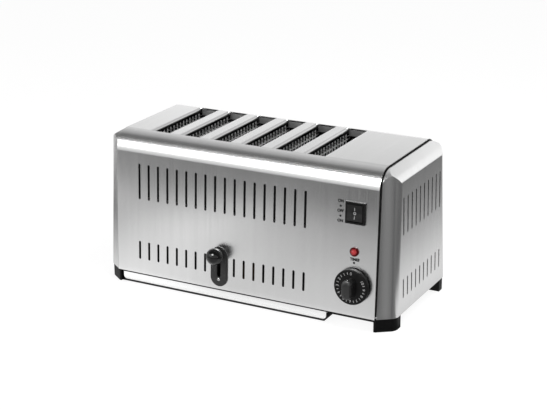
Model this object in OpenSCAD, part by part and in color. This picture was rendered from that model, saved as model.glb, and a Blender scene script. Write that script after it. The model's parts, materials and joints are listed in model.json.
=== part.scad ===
/* [Body] */
// Depth of the shell at its bottom edge
body_depth = 212; // [200:1:240]
// Height of the top face above the table
body_h = 228; // [215:1:245]
// Height of the shell's bottom edge above the table
shell_z = 19; // [16:0.5:22]
// Lean of the front and back walls, in degrees
wall_lean = 3; // [1:0.5:5]
// Radius of the bends along the top front and top back
bend_r = 29; // [22:1:36]
// Thickness of the shell and cap sheet
sheet = 1; // [0.8:0.1:1.4]
// Shell length to the left of the first heater
left_margin = 33.3; // [30:0.1:45]
// Shell length to the right of the last heater
control_w = 84.8; // [82:0.1:110]
// Gap left round a piece that seats in another
fit = 0.15; // [0.1:0.05:0.25]
// Gap between pieces that move past each other
slip = 0.4; // [0.3:0.05:0.6]

/* [End caps] */
// How far each cap stands out past the shell
cap_out = 24.5; // [20:0.5:28]
// Step from the shell's face down to the cap's face
cap_step = 2.6; // [2:0.1:5]
// Width of the groove between the shell's edge and a cap
groove_w = 2; // [1:0.1:3]
// Depth of that groove below the cap's face
groove_d = 3; // [2:0.1:4]
// Angle of the cap's bevel, in degrees
cap_bevel = 36; // [30:1:42]
// Radius between the bevel and the end face
cap_r = 16; // [12:1:22]
// Lean of the end face, in degrees
cap_lean = 1; // [0.5:0.25:2]
// Length of the cap's rim inside the shell
cap_tuck = 6; // [5:0.5:9]

/* [Bread slots] */
// Distance from one bread slot to the next
slot_pitch = 49.35; // [47:0.05:56]
// Clear width of a bread slot
slot_w = 27.2; // [22:0.2:29]
// Length of a bread slot
slot_len = 138.5; // [125:0.5:142]
// Radius of the turned-down edges of a bread slot
lip_r = 4; // [3:0.25:4.5]
// Straight drop below the turned-down edge
lip_drop = 3; // [2:0.5:4]

/* [Vents] */
// Width of a vent
vent_w = 3.6; // [2.5:0.1:4.5]
// Distance from one front vent to the next
vent_pitch = 15.75; // [14:0.05:16.5]
// Middle of the front vents, left of the shell's middle
vent_shift = 35.1; // [30:0.1:42]
// Bottom of the upper row of vents
vent_up_z = 132; // [120:1:140]
// Height of the upper row
vent_up_h = 53; // [40:1:56]
// Bottom of the lower row of vents
vent_low_z = 41; // [38:1:46]
// Height of the lower row
vent_low_h = 27.5; // [20:0.5:34]
// Distance from one cap vent to the next
cap_vent_pitch = 14.3; // [12:0.1:14.6]

/* [Inside] */
// Thickness of the inner plates
plate = 0.8; // [0.6:0.1:1.2]
// Thickness of the base plate
base_t = 1.2; // [1:0.1:2]
// Gap from the top of a guide rod to the shell in front of it
lift_clear = 2.8; // [2:0.1:6]
// Gap from an outer heater to the plate beside it
heater_gap = 12; // [8:0.5:14]
// Drop from the top face to the deck
deck_drop = 12; // [10:0.5:16]
// Diameter of the guard wires
wire_d = 2; // [1.6:0.1:2.4]
// Distance from one guard wire to the next
wire_pitch = 9; // [8:0.25:12]
// Bottom of the guards above the table
guard_z = 72; // [66:1:78]
// Gap from the slot's clear width to a guard's wires
guard_gap = 0.6; // [0.4:0.1:1]
// Thickness of a mica card
card_t = 1; // [0.6:0.1:1.6]
// Bottom of the mica cards above the table
card_z = 78; // [70:1:90]
// Length of the bare ears at a card's ends
card_ear = 12; // [8:0.5:16]
// Bare margin of a card above and below the ribbon
ribbon_margin = 10; // [6:0.5:14]
// Top of the mica cards below the deck
card_top_gap = 8; // [5:1:14]
// Width of the heater ribbon
ribbon_w = 3; // [2:0.25:4]
// Thickness of the heater ribbon
ribbon_t = 0.4; // [0.3:0.05:0.6]
// Number of turns of ribbon on a card
ribbon_turns = 11; // [8:1:12]

/* [Lift] */
// Travel of the lever
travel = 32; // [28:0.5:34]
// Height of the lever when up
lever_z = 72.5; // [70:0.5:76]
// Diameter of the lever's stem
stem_d = 5; // [4.5:0.1:6]
// Diameter of the ball knob
ball_d = 24.4; // [22:0.2:28]
// Distance of the ball's middle in front of the shell
ball_out = 14; // [13:0.25:18]
// Top of the bread racks when up
rack_z = 128; // [124:1:134]
// Width of a bread rack
rack_w = 20; // [14:0.5:22]
// Thickness of a rack's strip
rack_t = 2; // [1.5:0.1:2.5]
// Height of a rack's strip
rack_h = 10; // [8:0.5:12]
// Diameter of a rack's cross wires
rung_d = 2.5; // [2:0.1:3]
// Thickness of the carriage plate
carriage_t = 1.5; // [1.2:0.1:2]
// Height of the carriage plate
carriage_h = 34; // [30:1:38]
// Gap from the front heat plate to the carriage
carriage_gap = 3; // [2.5:0.1:3.5]
// Diameter of the guide rods
rod_d = 6; // [5:0.25:6.5]
// Radial running clearance on the rods
rod_play = 0.05; // [0.02:0.01:0.08]
// Side of the square bushes
bush_w = 12; // [11:0.5:13]
// Height of the bushes
bush_h = 20; // [16:1:24]
// Top of the guide rods above the table
rod_top = 182; // [170:1:184]
// Wire diameter of the lift springs
spring_wire = 1.4; // [1:0.1:1.6]
// Curls in a lift spring
spring_curls = 13; // [10:1:15]
// Side of the hold magnet
magnet_w = 22; // [18:1:26]
// Distance of the hold magnet to the right of the lever
magnet_shift = 46; // [40:1:55]
// Thickness of the armature
armature_t = 3; // [2:0.5:4]
// Width of the tongue that carries the lever
tongue_w = 16; // [12:0.5:20]

/* [Lever guide] */
// Width of the guide plate
guide_w = 27; // [24:0.5:30]
// Bottom of the guide plate above the table
guide_z = 23.7; // [22:0.1:26]
// Thickness of the guide plate
guide_t = 2.2; // [1.8:0.1:3]
// Gap on each side of the stem in the guide
guide_play = 0.7; // [0.5:0.1:1]
// Height of the guide plate's rim above the slot, which also spaces its screws
guide_rim = 6.8; // [6:0.1:9]
// Head diameter of the guide plate's screws
screw_d = 4.6; // [4:0.2:5]
// Width of the step round the guide plate's face
guide_step = 1.5; // [1:0.25:2.5]

/* [Controls] */
// Distance of the controls from the shell's right edge
control_inset = 33; // [30:0.5:36]
// Height of the switch above the table
switch_z = 165.5; // [160:0.5:170]
// Width of the switch bezel
switch_w = 28.5; // [26:0.5:32]
// Height of the switch bezel
switch_h = 30.5; // [28:0.5:36]
// Thickness of the switch bezel
bezel_t = 3; // [2:0.25:4]
// Width of the bezel's frame round the rocker
bezel_rim = 2.6; // [2:0.1:3.5]
// Depth of the switch behind the panel
switch_deep = 24; // [20:1:30]
// Wall of the switch behind the panel
switch_wall = 1.2; // [1:0.1:1.8]
// Rocker travel to each side, in degrees
rocker_swing = 10; // [6:1:12]
// Height of the lamp above the table
lamp_z = 111; // [106:0.5:116]
// Diameter of the lamp's rim
lamp_d = 13; // [11:0.5:16]
// Width of the lamp's rim over the panel
lamp_rim = 1.5; // [1:0.25:2]
// Depth of the lamp behind the panel
lamp_deep = 22; // [16:1:28]
// Height of the timer knob above the table
knob_z = 62.8; // [60:0.2:70]
// Diameter of the knob's skirt
knob_d = 50; // [44:1:54]
// Height of the knob's skirt off the panel
knob_skirt = 12; // [9:0.5:14]
// Height of the knob's grip off the panel
knob_h = 25; // [20:0.5:30]
// Width of the knob's grip bar
grip_w = 15; // [12:0.5:18]
// Diameter of the timer's shaft
shaft_d = 6; // [5:0.25:6.5]
// Side of the timer body
timer_w = 46; // [40:1:48]
// Depth of the timer body
timer_deep = 28; // [22:1:34]
// Wall of the threaded neck round the shaft
neck_wall = 2; // [1.5:0.1:3]
// Thickness of the nut on the neck
nut_t = 2.5; // [2:0.25:3.5]
// Width of the nut past the neck
nut_over = 3.5; // [2.5:0.25:4.5]

/* [Base] */
// Height of the crumb tray's floor above the table
tray_z = 6; // [5:0.25:8]
// Thickness of the tray's sheet
tray_t = 1; // [0.8:0.1:1.4]
// Height of the tray's front lip
lip_h = 11.2; // [9:0.1:11.6]
// Radius of the lip's lower corners
lip_corner = 5; // [3:0.5:6]
// Gap from the heat plates to the tray's side walls
tray_side = 4; // [3:0.5:6]
// Width of the tray's side flanges
tray_flange = 4; // [3.5:0.25:5]
// How far the lip reaches past each tray wall
lip_over = 8; // [7:0.5:9]
// Gap from the shell's bottom edge down to the tray's lip
lip_gap = 1.8; // [1:0.1:2.4]
// Gap from the base plate down to the tray's walls
tray_room = 2.2; // [1.5:0.1:3]
// Thickness of the tray runners
runner_t = 1; // [0.8:0.1:1.4]
// Width of the runners' welding flanges
runner_flange = 6; // [5:0.5:9]
// Setback of the runners from the shell's front
runner_set = 12; // [8:0.5:16]
// Width of a foot
foot_w = 27; // [22:0.5:30]
// Length of a foot
foot_len = 33; // [28:0.5:38]
// Thickness of a foot above its screw's head
foot_floor = 4; // [3:0.25:6]
// Diameter of the foot screws' heads
foot_screw_d = 8; // [6:0.5:9]
// Height of the foot screws' heads
foot_screw_head = 3; // [2:0.25:4]
// Height of the upturned edges of the base plate
base_flange = 12; // [9:0.5:16]

/* [Wiring] */
// Diameter of the hole for the cord
cord_hole = 9; // [7:0.5:11]
// Height of the cable gland above the table
gland_z = 48; // [40:1:60]
// Reach of the cable gland off the back
gland_out = 11; // [9:0.5:14]
// Wall of the gland round the cord
gland_wall = 2.5; // [2:0.25:3.5]
// Width of the gland's flange past its body
gland_flange = 4; // [3:0.25:6]
// Width of one way of the terminal block
terminal_w = 13; // [10:0.5:16]
// Depth of the terminal block
terminal_deep = 20; // [16:0.5:24]
// Height of the terminal block
terminal_h = 18; // [14:0.5:24]

/* [Hidden] */
$fn = 48;
slots = 6;
vents = 18;
cap_vents = 10;
// Overlap of a joined shape, and overshoot of a cut past its face
eps = 0.01;
over = 1;
// Length of a cut through the front or back panel
panel_cut = 6 * sheet;

// Lengths along the body
shell_len = left_margin + slots * slot_pitch + control_w;
shell_x = shell_len / 2;
body_x = shell_x + cap_out;
// Step from the shell's face down to the neck of a cap
neck_step = cap_step + groove_d;
function heater_x(i) = -shell_x + left_margin + i * slot_pitch;
function slot_x(i) = heater_x(i) + slot_pitch / 2;
left_plate_x = heater_x(0) - heater_gap;
bulkhead_x = heater_x(slots) + heater_gap;
control_x = shell_x - control_inset;
lever_x = -vent_shift;

// Wall of the shell: its distance from the middle at height z, moved inward by t
wall_k = body_depth / 2 * cos(wall_lean) + shell_z * sin(wall_lean);
function wall_y(z, t = 0) = (wall_k - t - z * sin(wall_lean)) / cos(wall_lean);
bend_z = body_h - bend_r;
bend_y = wall_y(bend_z, bend_r);

// Inside heights and depths
base_top = shell_z + base_t;
deck_z = body_h - deck_drop;
card_top = deck_z - card_top_gap;
guard_x = slot_w / 2 + guard_gap + wire_d / 2;

// Lift places: the rods stand clear of the leaned wall, and the chamber starts behind the carriage
rod_y = -wall_y(rod_top, sheet) + lift_clear + rod_d / 2;
carriage_y = rod_y + bush_w / 2 + carriage_t;
chamber_y = -carriage_y - carriage_gap - plate;
rod_reach = (slots - 1) / 2 * slot_pitch + slot_w / 2 + bush_w / 2;
field_x = (slot_x(0) + slot_x(slots - 1)) / 2;
rod_xs = [field_x - rod_reach, field_x + rod_reach];
rack_top = rack_z - rung_d / 2;
rack_over = 4;
carriage_z = rack_z - carriage_h + rack_t;
bush_z = carriage_z;
spring_r = rod_d / 2 + slip + spring_wire / 2;
magnet_x = lever_x + magnet_shift;
magnet_top = carriage_z - armature_t - travel - slip;

// Lever guide slot, wide enough for the stem over its travel
guide_slot_w = stem_d + 2 * guide_play;
guide_slot_low = lever_z - travel - stem_d / 2 - guide_play;
guide_slot_h = travel + stem_d + 2 * guide_play;
guide_slot_mid = guide_slot_low + guide_slot_h / 2;
guide_h = guide_slot_low + guide_slot_h + guide_rim - guide_z;
guide_mid = guide_z + guide_h / 2;
guide_screw_head = screw_d / 4;
// Back of the ball knob: clear of the guide's screws at the bottom of the leaned wall
knob_back = guide_t + guide_screw_head + travel * tan(wall_lean) + slip;

// Crumb tray and runners
tray_x0 = left_plate_x - tray_side;
tray_x1 = bulkhead_x - 2 * tray_side;
tray_wall = shell_z - tray_z - tray_room;
tray_back = chamber_y + rack_over;
lip_z = shell_z - lip_gap - lip_h;

// Rocker
rocker_open_w = switch_w - 2 * bezel_rim;
rocker_open_h = switch_h - 2 * bezel_rim;
rocker_r = rocker_open_h / 2 - slip;
rocker_w = rocker_open_w - 2 * slip;
switch_body_w = rocker_open_w + 2 * switch_wall;
switch_body_h = rocker_open_h + 2 * switch_wall;
pivot_d = 3;
pivot_len = rocker_open_w + switch_wall;
rocker_proud = 2.5;
pivot_z = -rocker_r / 10;

// Bodies that pass through the panel
lamp_body_d = lamp_d - 2 * lamp_rim;
neck_d = shaft_d + 2 * neck_wall;
nut_d = neck_d + 2 * nut_over;

// Reach to the front and back, and the shift that centres the whole depth
front_reach = max(
    wall_y(lever_z) + ball_out + ball_d / 2,
    wall_y(knob_z) + (knob_h - knob_d) * cos(wall_lean) + knob_d
);
gland_end_r = cord_hole / 2 + gland_wall;
back_reach = wall_y(gland_z) + gland_out * cos(wall_lean) + gland_end_r * sin(wall_lean);
mid_y = (front_reach - back_reach) / 2;

// Shapes that several pieces share

// Upright slot with round ends, drawn flat about its middle
module oblong(w, h) {
    square([w, h - w], center = true);
    for (s = [-1, 1])
        translate([0, s * (h - w) / 2])
            circle(d = w);
}

// Flat shape in (x, z) pushed through along Y from y0 to y1
module along_y(y0, y1) {
    translate([0, y1, 0])
        rotate([90, 0, 0])
            linear_extrude(y1 - y0)
                children();
}

// Flat shape in (y, z) pushed along X from x0 to x1
module along_x(x0, x1) {
    translate([x0, 0, 0])
        rotate([90, 0, 90])
            linear_extrude(x1 - x0)
                children();
}

// Box from two opposite corners
module box(low, high) {
    translate(low)
        cube(high - low);
}

// Cross-section of the body, moved inward by t, down to height low
module body_section(t, low) {
    r = bend_r - t;
    polygon([
        [wall_y(low, t), low],
        [bend_y + r * cos(wall_lean), bend_z + r * sin(wall_lean)],
        [bend_y, bend_z + r],
        [-bend_y, bend_z + r],
        [-bend_y - r * cos(wall_lean), bend_z + r * sin(wall_lean)],
        [-wall_y(low, t), low]
    ]);
    for (s = [-1, 1])
        translate([s * bend_y, bend_z])
            circle(r);
}

// Place on the front panel: X stays, Y runs up the panel, Z points out of it
module on_front(x, z) {
    translate([x, -wall_y(z), z])
        rotate([90 - wall_lean, 0, 0])
            children();
}

// Place on the back panel, in the same way
module on_back(x, z) {
    translate([x, wall_y(z), z])
        rotate([0, 0, 180])
            rotate([90 - wall_lean, 0, 0])
                children();
}

// Places of the vents of one row along the front
function vent_x(i) = lever_x + (i - (vents - 1) / 2) * vent_pitch;

// One vent as a flat shape at (at, z)
module vent(at, z, h) {
    translate([at, z + h / 2])
        oblong(vent_w, h);
}

// Shell

module bread_openings() {
    for (i = [0 : slots - 1])
        box([slot_x(i) - slot_w / 2 - lip_r, -slot_len / 2, body_h - 2 * sheet],
            [slot_x(i) + slot_w / 2 + lip_r, slot_len / 2, body_h + over]);
}

// Turned-down edge on one side of a bread slot, as a flat shape in (x, z)
module lip_section() {
    translate([-lip_r, -lip_r])
        intersection() {
            difference() {
                circle(lip_r);
                circle(lip_r - sheet);
            }
            square(lip_r);
        }
    translate([-sheet, -lip_r - lip_drop])
        square([sheet, lip_drop]);
}

module bread_lips() {
    for (i = [0 : slots - 1], s = [-1, 1])
        along_y(-slot_len / 2, slot_len / 2)
            translate([slot_x(i) + s * slot_w / 2, body_h])
                mirror([s > 0 ? 1 : 0, 0])
                    lip_section();
}

module shell_vents() {
    for (i = [0 : vents - 1]) {
        along_y(-body_depth, body_depth)
            vent(vent_x(i), vent_up_z, vent_up_h);
        beside_lever = abs(vent_x(i) - lever_x) < vent_pitch;
        along_y(beside_lever ? 0 : -body_depth, body_depth)
            vent(vent_x(i), vent_low_z, vent_low_h);
    }
}

module shell_control_holes() {
    behind_guide = 2 * sheet;
    on_front(lever_x, guide_slot_mid)
        linear_extrude(panel_cut, center = true)
            oblong(guide_slot_w + 2 * behind_guide, guide_slot_h + 2 * behind_guide);
    on_front(control_x, switch_z)
        cube([switch_body_w + 2 * fit, switch_body_h + 2 * fit, panel_cut], center = true);
    on_front(control_x, lamp_z)
        cylinder(d = lamp_body_d + 2 * fit, h = panel_cut, center = true);
    on_front(control_x, knob_z)
        cylinder(d = neck_d + 2 * fit, h = panel_cut, center = true);
    on_back(control_x, gland_z)
        cylinder(r = gland_end_r + fit, h = panel_cut, center = true);
}

module outer_shell() {
    color("silver") {
        difference() {
            along_x(-shell_x, shell_x)
                difference() {
                    body_section(0, shell_z);
                    body_section(sheet, shell_z - over);
                }
            bread_openings();
            shell_vents();
            shell_control_holes();
        }
        bread_lips();
    }
}

// End caps

// Bevel and end face of a cap as a flat shape: x runs outward, y up to the bevelled face
module cap_corner(t, face) {
    r = cap_r - t;
    out = body_x - t;
    seam = shell_x + groove_w;
    touch_x = body_x - cap_r + cap_r * sin(cap_bevel);
    touch_y = face - (touch_x - seam) * tan(cap_bevel);
    mid_x = body_x - cap_r;
    mid = touch_y - cap_r * cos(cap_bevel);
    bevel_x = mid_x + r * sin(cap_bevel);
    bevel_y = mid + r * cos(cap_bevel);
    back = 60;
    deep = 3 * body_h;
    polygon([
        [bevel_x, bevel_y],
        [bevel_x - back, bevel_y + back * tan(cap_bevel)],
        [bevel_x - back, -deep],
        [out, -deep],
        [out, mid]
    ]);
    translate([mid_x, mid])
        circle(r);
}

// Block bounded by the bevel along the front wall, or along the back wall where side is 1
module cap_wall_block(t, side) {
    reach = 2 * body_h;
    mirror([0, side, 0])
        translate([0, 0, shell_z])
            rotate([0, -cap_lean, 0])
                rotate([-wall_lean, 0, 0])
                    translate([0, 0, -reach])
                        linear_extrude(2 * reach)
                            mirror([0, 1])
                                cap_corner(t, body_depth / 2 * cos(wall_lean) - cap_step);
}

// Block bounded by the bevel along the top
module cap_top_block(t) {
    translate([0, 0, shell_z])
        rotate([0, -cap_lean, 0])
            along_y(-body_depth, body_depth)
                cap_corner(t, body_h - shell_z - cap_step);
}

// Solid outline of the right cap, moved inward by t, from x0 outward
module cap_solid(t, x0, low) {
    intersection() {
        along_x(x0, body_x + over)
            body_section(cap_step + t, low);
        cap_wall_block(t, 0);
        cap_wall_block(t, 1);
        cap_top_block(t);
    }
}

module cap_vent_cuts() {
    for (i = [0 : cap_vents - 1])
        along_x(body_x - 3 * cap_out / 4, body_x + over) {
            vent((i - (cap_vents - 1) / 2) * cap_vent_pitch, vent_up_z, vent_up_h);
            vent((i - (cap_vents - 1) / 2) * cap_vent_pitch, vent_low_z, vent_low_h);
        }
}

// Cap with its sunk neck under the shell, moved inward by t, down to low, the neck longer by some length
module cap_form(t, low, longer) {
    face_x = shell_x + groove_w + t;
    cap_solid(t, face_x, low);
    along_x(shell_x - cap_tuck - longer, face_x + over)
        body_section(neck_step + t, low);
}

module end_cap() {
    difference() {
        cap_form(0, shell_z, 0);
        cap_form(sheet, shell_z - over, over);
        cap_vent_cuts();
    }
}

module right_end_cap() {
    color("silver")
        end_cap();
}

module left_end_cap() {
    color("silver")
        mirror([1, 0, 0])
            end_cap();
}

// Frame between the shell and a cap: a rim under the shell and a web across
module end_frame() {
    web = 14;
    rim_x = shell_x - cap_tuck - sheet - fit;
    along_x(rim_x, shell_x - groove_w)
        difference() {
            body_section(sheet + fit, base_top);
            body_section(neck_step - fit, shell_z - over);
        }
    along_x(rim_x - plate, rim_x)
        difference() {
            body_section(sheet + fit, base_top);
            body_section(web, shell_z - over);
        }
}

module right_end_frame() {
    color("gainsboro")
        end_frame();
}

module left_end_frame() {
    color("gainsboro")
        mirror([1, 0, 0])
            end_frame();
}

// Base

// Plan of the base: the shell's length, and the caps with their bevelled corners
module base_plan() {
    in = sheet + fit;
    square([2 * (shell_x - cap_tuck - fit), 2 * wall_y(base_top, in)], center = true);
    for (s = [0, 1])
        mirror([s, 0])
            intersection() {
                translate([0, -wall_y(base_top, neck_step + in)])
                    square([body_x, 2 * wall_y(base_top, neck_step + in)]);
                cap_corner(in + fit, body_depth / 2 - cap_step);
                mirror([0, 1])
                    cap_corner(in + fit, body_depth / 2 - cap_step);
            }
}

foot_x = body_x - foot_w;
foot_y = body_depth / 2 - cap_step;
foot_screw_x = body_x - foot_w / 2 - foot_screw_d / 2;
foot_screw_y = foot_y - foot_len / 2;
foot_hole = foot_screw_d / 2;
// Edge of the base plate left under the heat plates
crumb_edge = 2 * tray_side;

module base_plate() {
    air_slots = 5;
    top = base_top + base_flange;
    in = sheet + fit;
    color("darkgray")
        difference() {
            union() {
                translate([0, 0, shell_z])
                    linear_extrude(base_t)
                        base_plan();
                for (s = [0, 1])
                    mirror([0, s, 0])
                        along_x(-shell_x + 2 * cap_tuck, shell_x - 2 * cap_tuck)
                            polygon([
                                [wall_y(base_top, in), base_top],
                                [wall_y(top, in), top],
                                [wall_y(top, in + base_t), top],
                                [wall_y(base_top, in + base_t), base_top]
                            ]);
            }
            box([tray_x0 + tray_side + crumb_edge, -chamber_y + crumb_edge, shell_z - over],
                [tray_x1 - crumb_edge, chamber_y - crumb_edge, base_top + over]);
            for (x = [-1, 1], y = [-1, 1])
                translate([x * foot_screw_x, y * foot_screw_y, shell_z - over])
                    cylinder(d = foot_hole + 2 * fit, h = base_t + 2 * over);
            for (i = [0 : air_slots - 1])
                translate([control_x, (i - (air_slots - 1) / 2) * cap_vent_pitch, shell_z - over])
                    linear_extrude(base_t + 2 * over)
                        rotate(90)
                            oblong(vent_w, vent_low_h);
        }
}

// Right front foot: its outer corner follows the cap, and a screw goes up through it
module foot() {
    difference() {
        linear_extrude(shell_z)
            intersection() {
                translate([foot_x, -foot_y])
                    square([foot_w, foot_len]);
                mirror([0, 1])
                    cap_corner(sheet, body_depth / 2 - cap_step);
            }
        translate([foot_screw_x, -foot_screw_y, -over])
            cylinder(d = foot_screw_d + 2 * slip, h = shell_z - foot_floor + over);
        translate([foot_screw_x, -foot_screw_y, -over])
            cylinder(d = foot_hole + 2 * fit, h = shell_z + 2 * over);
    }
}

module placed_foot(x, y) {
    color("black")
        mirror([x, 0, 0])
            mirror([0, y, 0])
                foot();
}

module foot_screws() {
    low = shell_z - foot_floor - foot_screw_head;
    color("silver")
        for (x = [-1, 1], y = [-1, 1])
            translate([x * foot_screw_x, y * foot_screw_y, low]) {
                cylinder(d = foot_screw_d, h = foot_screw_head);
                cylinder(d = foot_hole, h = base_top + foot_screw_head - low);
            }
}

module crumb_tray() {
    front = -wall_y(shell_z) + sheet;
    color("silver") {
        difference() {
            box([tray_x0, front, tray_z], [tray_x1, tray_back, tray_z + tray_wall]);
            box([tray_x0 + tray_t, front - over, tray_z + tray_t],
                [tray_x1 - tray_t, tray_back - tray_t, tray_z + tray_wall + over]);
        }
        for (x = [tray_x0 - tray_flange, tray_x1])
            box([x, front, tray_z + tray_wall - tray_t],
                [x + tray_flange, tray_back, tray_z + tray_wall]);
        along_y(front - tray_t, front)
            lip_outline();
    }
}

// Front lip of the tray, with round lower corners
module lip_outline() {
    x0 = tray_x0 - lip_over;
    x1 = tray_x1 + lip_over;
    low = min(lip_z, tray_z);
    top = lip_z + lip_h;
    translate([x0, low + lip_corner])
        square([x1 - x0, top - low - lip_corner]);
    translate([x0 + lip_corner, low])
        square([x1 - x0 - 2 * lip_corner, lip_corner]);
    for (x = [x0 + lip_corner, x1 - lip_corner])
        translate([x, low + lip_corner])
            circle(lip_corner);
}

// Runner beside the tray's wall: its foot carries the tray's flange
module tray_runner(side) {
    wall = tray_flange + slip;
    outer = wall + runner_t;
    flange_low = tray_z + tray_wall - tray_t - fit;
    low = flange_low - runner_t;
    front = -wall_y(shell_z) + runner_set;
    back = tray_back + rack_over;
    color("darkgray")
        translate([side > 0 ? tray_x1 : tray_x0, 0, 0])
            mirror([side > 0 ? 0 : 1, 0, 0]) {
                box([wall, front, low], [outer, back, shell_z]);
                box([slip, front, low], [wall, back, flange_low]);
                box([outer, front, shell_z - runner_t], [outer + runner_flange, back, shell_z]);
            }
}

module left_tray_runner() {
    tray_runner(-1);
}

module right_tray_runner() {
    tray_runner(1);
}

// Toasting chamber

module top_deck() {
    tab_y = slot_len / 2 + sheet;
    tab_top = body_h - 2 * sheet - slip;
    color("gainsboro") {
        difference() {
            box([left_plate_x - plate, -chamber_y - plate, deck_z],
                [bulkhead_x + plate, chamber_y + plate, deck_z + plate]);
            for (i = [0 : slots - 1])
                box([slot_x(i) - slot_w / 2, -tab_y, deck_z - over],
                    [slot_x(i) + slot_w / 2, tab_y, deck_z + plate + over]);
        }
        for (i = [0 : slots - 1], s = [0, 1])
            mirror([0, s, 0])
                box([slot_x(i) - slot_w / 2, tab_y, deck_z],
                    [slot_x(i) + slot_w / 2, tab_y + plate, tab_top]);
    }
}

// Slots in which the racks run, cut through a heat plate
module rack_runs() {
    half = rack_t / 2 + slip;
    for (i = [0 : slots - 1])
        box([slot_x(i) - half, -body_depth, rack_top - rack_h - travel - rack_t],
            [slot_x(i) + half, body_depth, rack_top + rack_t]);
}

// Tabs of the front heat plate that hold the guide rods near their tops
rod_tab_t = 2 * sheet;
rod_tab_z = rod_top - rod_d / 2;

module front_heat_plate() {
    color("gainsboro")
        difference() {
            union() {
                box([left_plate_x, -chamber_y - plate, base_top], [bulkhead_x, -chamber_y, deck_z]);
                for (x = rod_xs)
                    box([x - bush_w / 2, rod_y - rod_d / 2 - rod_tab_t, rod_tab_z - rod_tab_t],
                        [x + bush_w / 2, -chamber_y - plate, rod_tab_z]);
            }
            rack_runs();
            for (x = rod_xs)
                translate([x, rod_y, rod_tab_z - rod_tab_t - over])
                    cylinder(r = rod_d / 2 + rod_play, h = rod_tab_t + 2 * over);
        }
}

module rear_heat_plate() {
    color("gainsboro")
        difference() {
            box([left_plate_x, chamber_y, base_top], [bulkhead_x, chamber_y + plate, deck_z]);
            rack_runs();
        }
}

module left_heat_plate() {
    color("gainsboro")
        box([left_plate_x - plate, -chamber_y - plate, base_top],
            [left_plate_x, chamber_y + plate, deck_z]);
}

module control_bulkhead() {
    wire_hole = 12;
    color("gainsboro")
        difference() {
            box([bulkhead_x, -chamber_y - plate, base_top],
                [bulkhead_x + plate, chamber_y + plate, deck_z]);
            for (y = [-1, 1])
                translate([bulkhead_x - over, y * chamber_y / 2, base_top + 2 * wire_hole])
                    rotate([0, 90, 0])
                        cylinder(d = wire_hole, h = plate + 2 * over);
        }
}

// Wire grid beside a bread slot: upright wires welded to cross wires behind them
module guard_grid() {
    run = slot_len - 2 * wire_d;
    count = floor(run / wire_pitch);
    weld = wire_d * 0.8;
    for (i = [0 : count])
        translate([0, (i - count / 2) * wire_pitch, guard_z])
            cylinder(d = wire_d, h = deck_z - guard_z, $fn = 16);
    for (z = [guard_z + 2 * wire_d, deck_z - 3 * wire_d])
        translate([weld, chamber_y, z])
            rotate([90, 0, 0])
                cylinder(d = wire_d, h = 2 * chamber_y, $fn = 16);
}

module bread_guard(i) {
    color("lightgray")
        for (s = [0, 1])
            translate([slot_x(i), 0, 0])
                mirror([s, 0, 0])
                    translate([guard_x, 0, 0])
                        guard_grid();
}

// Heater: a mica card with notched edges that the ribbon is wound round
ribbon_y = chamber_y - card_ear;
ribbon_low = card_z + ribbon_margin;
ribbon_step = (card_top - ribbon_margin - ribbon_low) / ribbon_turns;
function ribbon_z(i) = ribbon_low + i * ribbon_step;

module card_outline() {
    notch = ribbon_w + 2 * slip;
    tooth = ribbon_w;
    difference() {
        translate([-chamber_y, card_z])
            square([2 * chamber_y, card_top - card_z]);
        for (s = [-1, 1])
            translate([s * (ribbon_y + card_ear), (card_z + card_top) / 2])
                square([2 * card_ear, card_top - card_z - card_ear], center = true);
    }
    for (s = [0, 1], i = [0 : ribbon_turns - 1])
        mirror([s, 0])
            translate([ribbon_y - eps, ribbon_z(i) + ribbon_w + slip + (1 - s) * ribbon_step / 2])
                square([tooth, ribbon_step - notch]);
}

module heater_card(i) {
    color("tan")
        along_x(heater_x(i) - card_t / 2, heater_x(i) + card_t / 2)
            card_outline();
}

// Runs of ribbon on one face, each rising by a share of the step between flat ends
module ribbon_runs(rise0, rise1, count) {
    end = ribbon_y + ribbon_t;
    for (i = [0 : count - 1]) {
        z0 = ribbon_z(i) + rise0;
        z1 = ribbon_z(i) + rise1;
        polygon([
            [-end, z0],
            [-ribbon_y, z0],
            [ribbon_y, z1],
            [end, z1],
            [end, z1 + ribbon_w],
            [ribbon_y, z1 + ribbon_w],
            [-ribbon_y, z0 + ribbon_w],
            [-end, z0 + ribbon_w]
        ]);
    }
}

module heater_ribbon(i) {
    half = card_t / 2;
    along_x(heater_x(i) + half, heater_x(i) + half + ribbon_t)
        ribbon_runs(0, ribbon_step / 2, ribbon_turns);
    along_x(heater_x(i) - half - ribbon_t, heater_x(i) - half)
        ribbon_runs(ribbon_step, ribbon_step / 2, ribbon_turns - 1);
    for (k = [0 : ribbon_turns - 1]) {
        if (k < ribbon_turns - 1)
            ribbon_turn(i, ribbon_y, ribbon_z(k) + ribbon_step / 2);
        if (k > 0)
            ribbon_turn(i, -ribbon_y - ribbon_t, ribbon_z(k));
    }
}

module ribbon_turn(i, y, z) {
    half = card_t / 2 + ribbon_t;
    box([heater_x(i) - half, y, z], [heater_x(i) + half, y + ribbon_t, z + ribbon_w]);
}

module heater_ribbons() {
    color("dimgray")
        for (i = [0 : slots])
            heater_ribbon(i);
}

// Lift

module lift_carriage() {
    ear = bush_w / 2 + carriage_t;
    color("lightgray")
        along_y(carriage_y - carriage_t, carriage_y) {
            translate([field_x - rod_reach - ear, carriage_z])
                square([2 * (rod_reach + ear), carriage_h]);
            translate([lever_x - tongue_w / 2, lever_z - tongue_w / 2])
                square([tongue_w, carriage_z - lever_z + tongue_w / 2 + over]);
        }
}

module carriage_bushes() {
    color("goldenrod")
        for (x = rod_xs)
            difference() {
                translate([x - bush_w / 2, rod_y - bush_w / 2, bush_z])
                    cube([bush_w, bush_w, bush_h]);
                translate([x, rod_y, bush_z - over])
                    cylinder(r = rod_d / 2 + rod_play, h = bush_h + 2 * over);
            }
}

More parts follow.
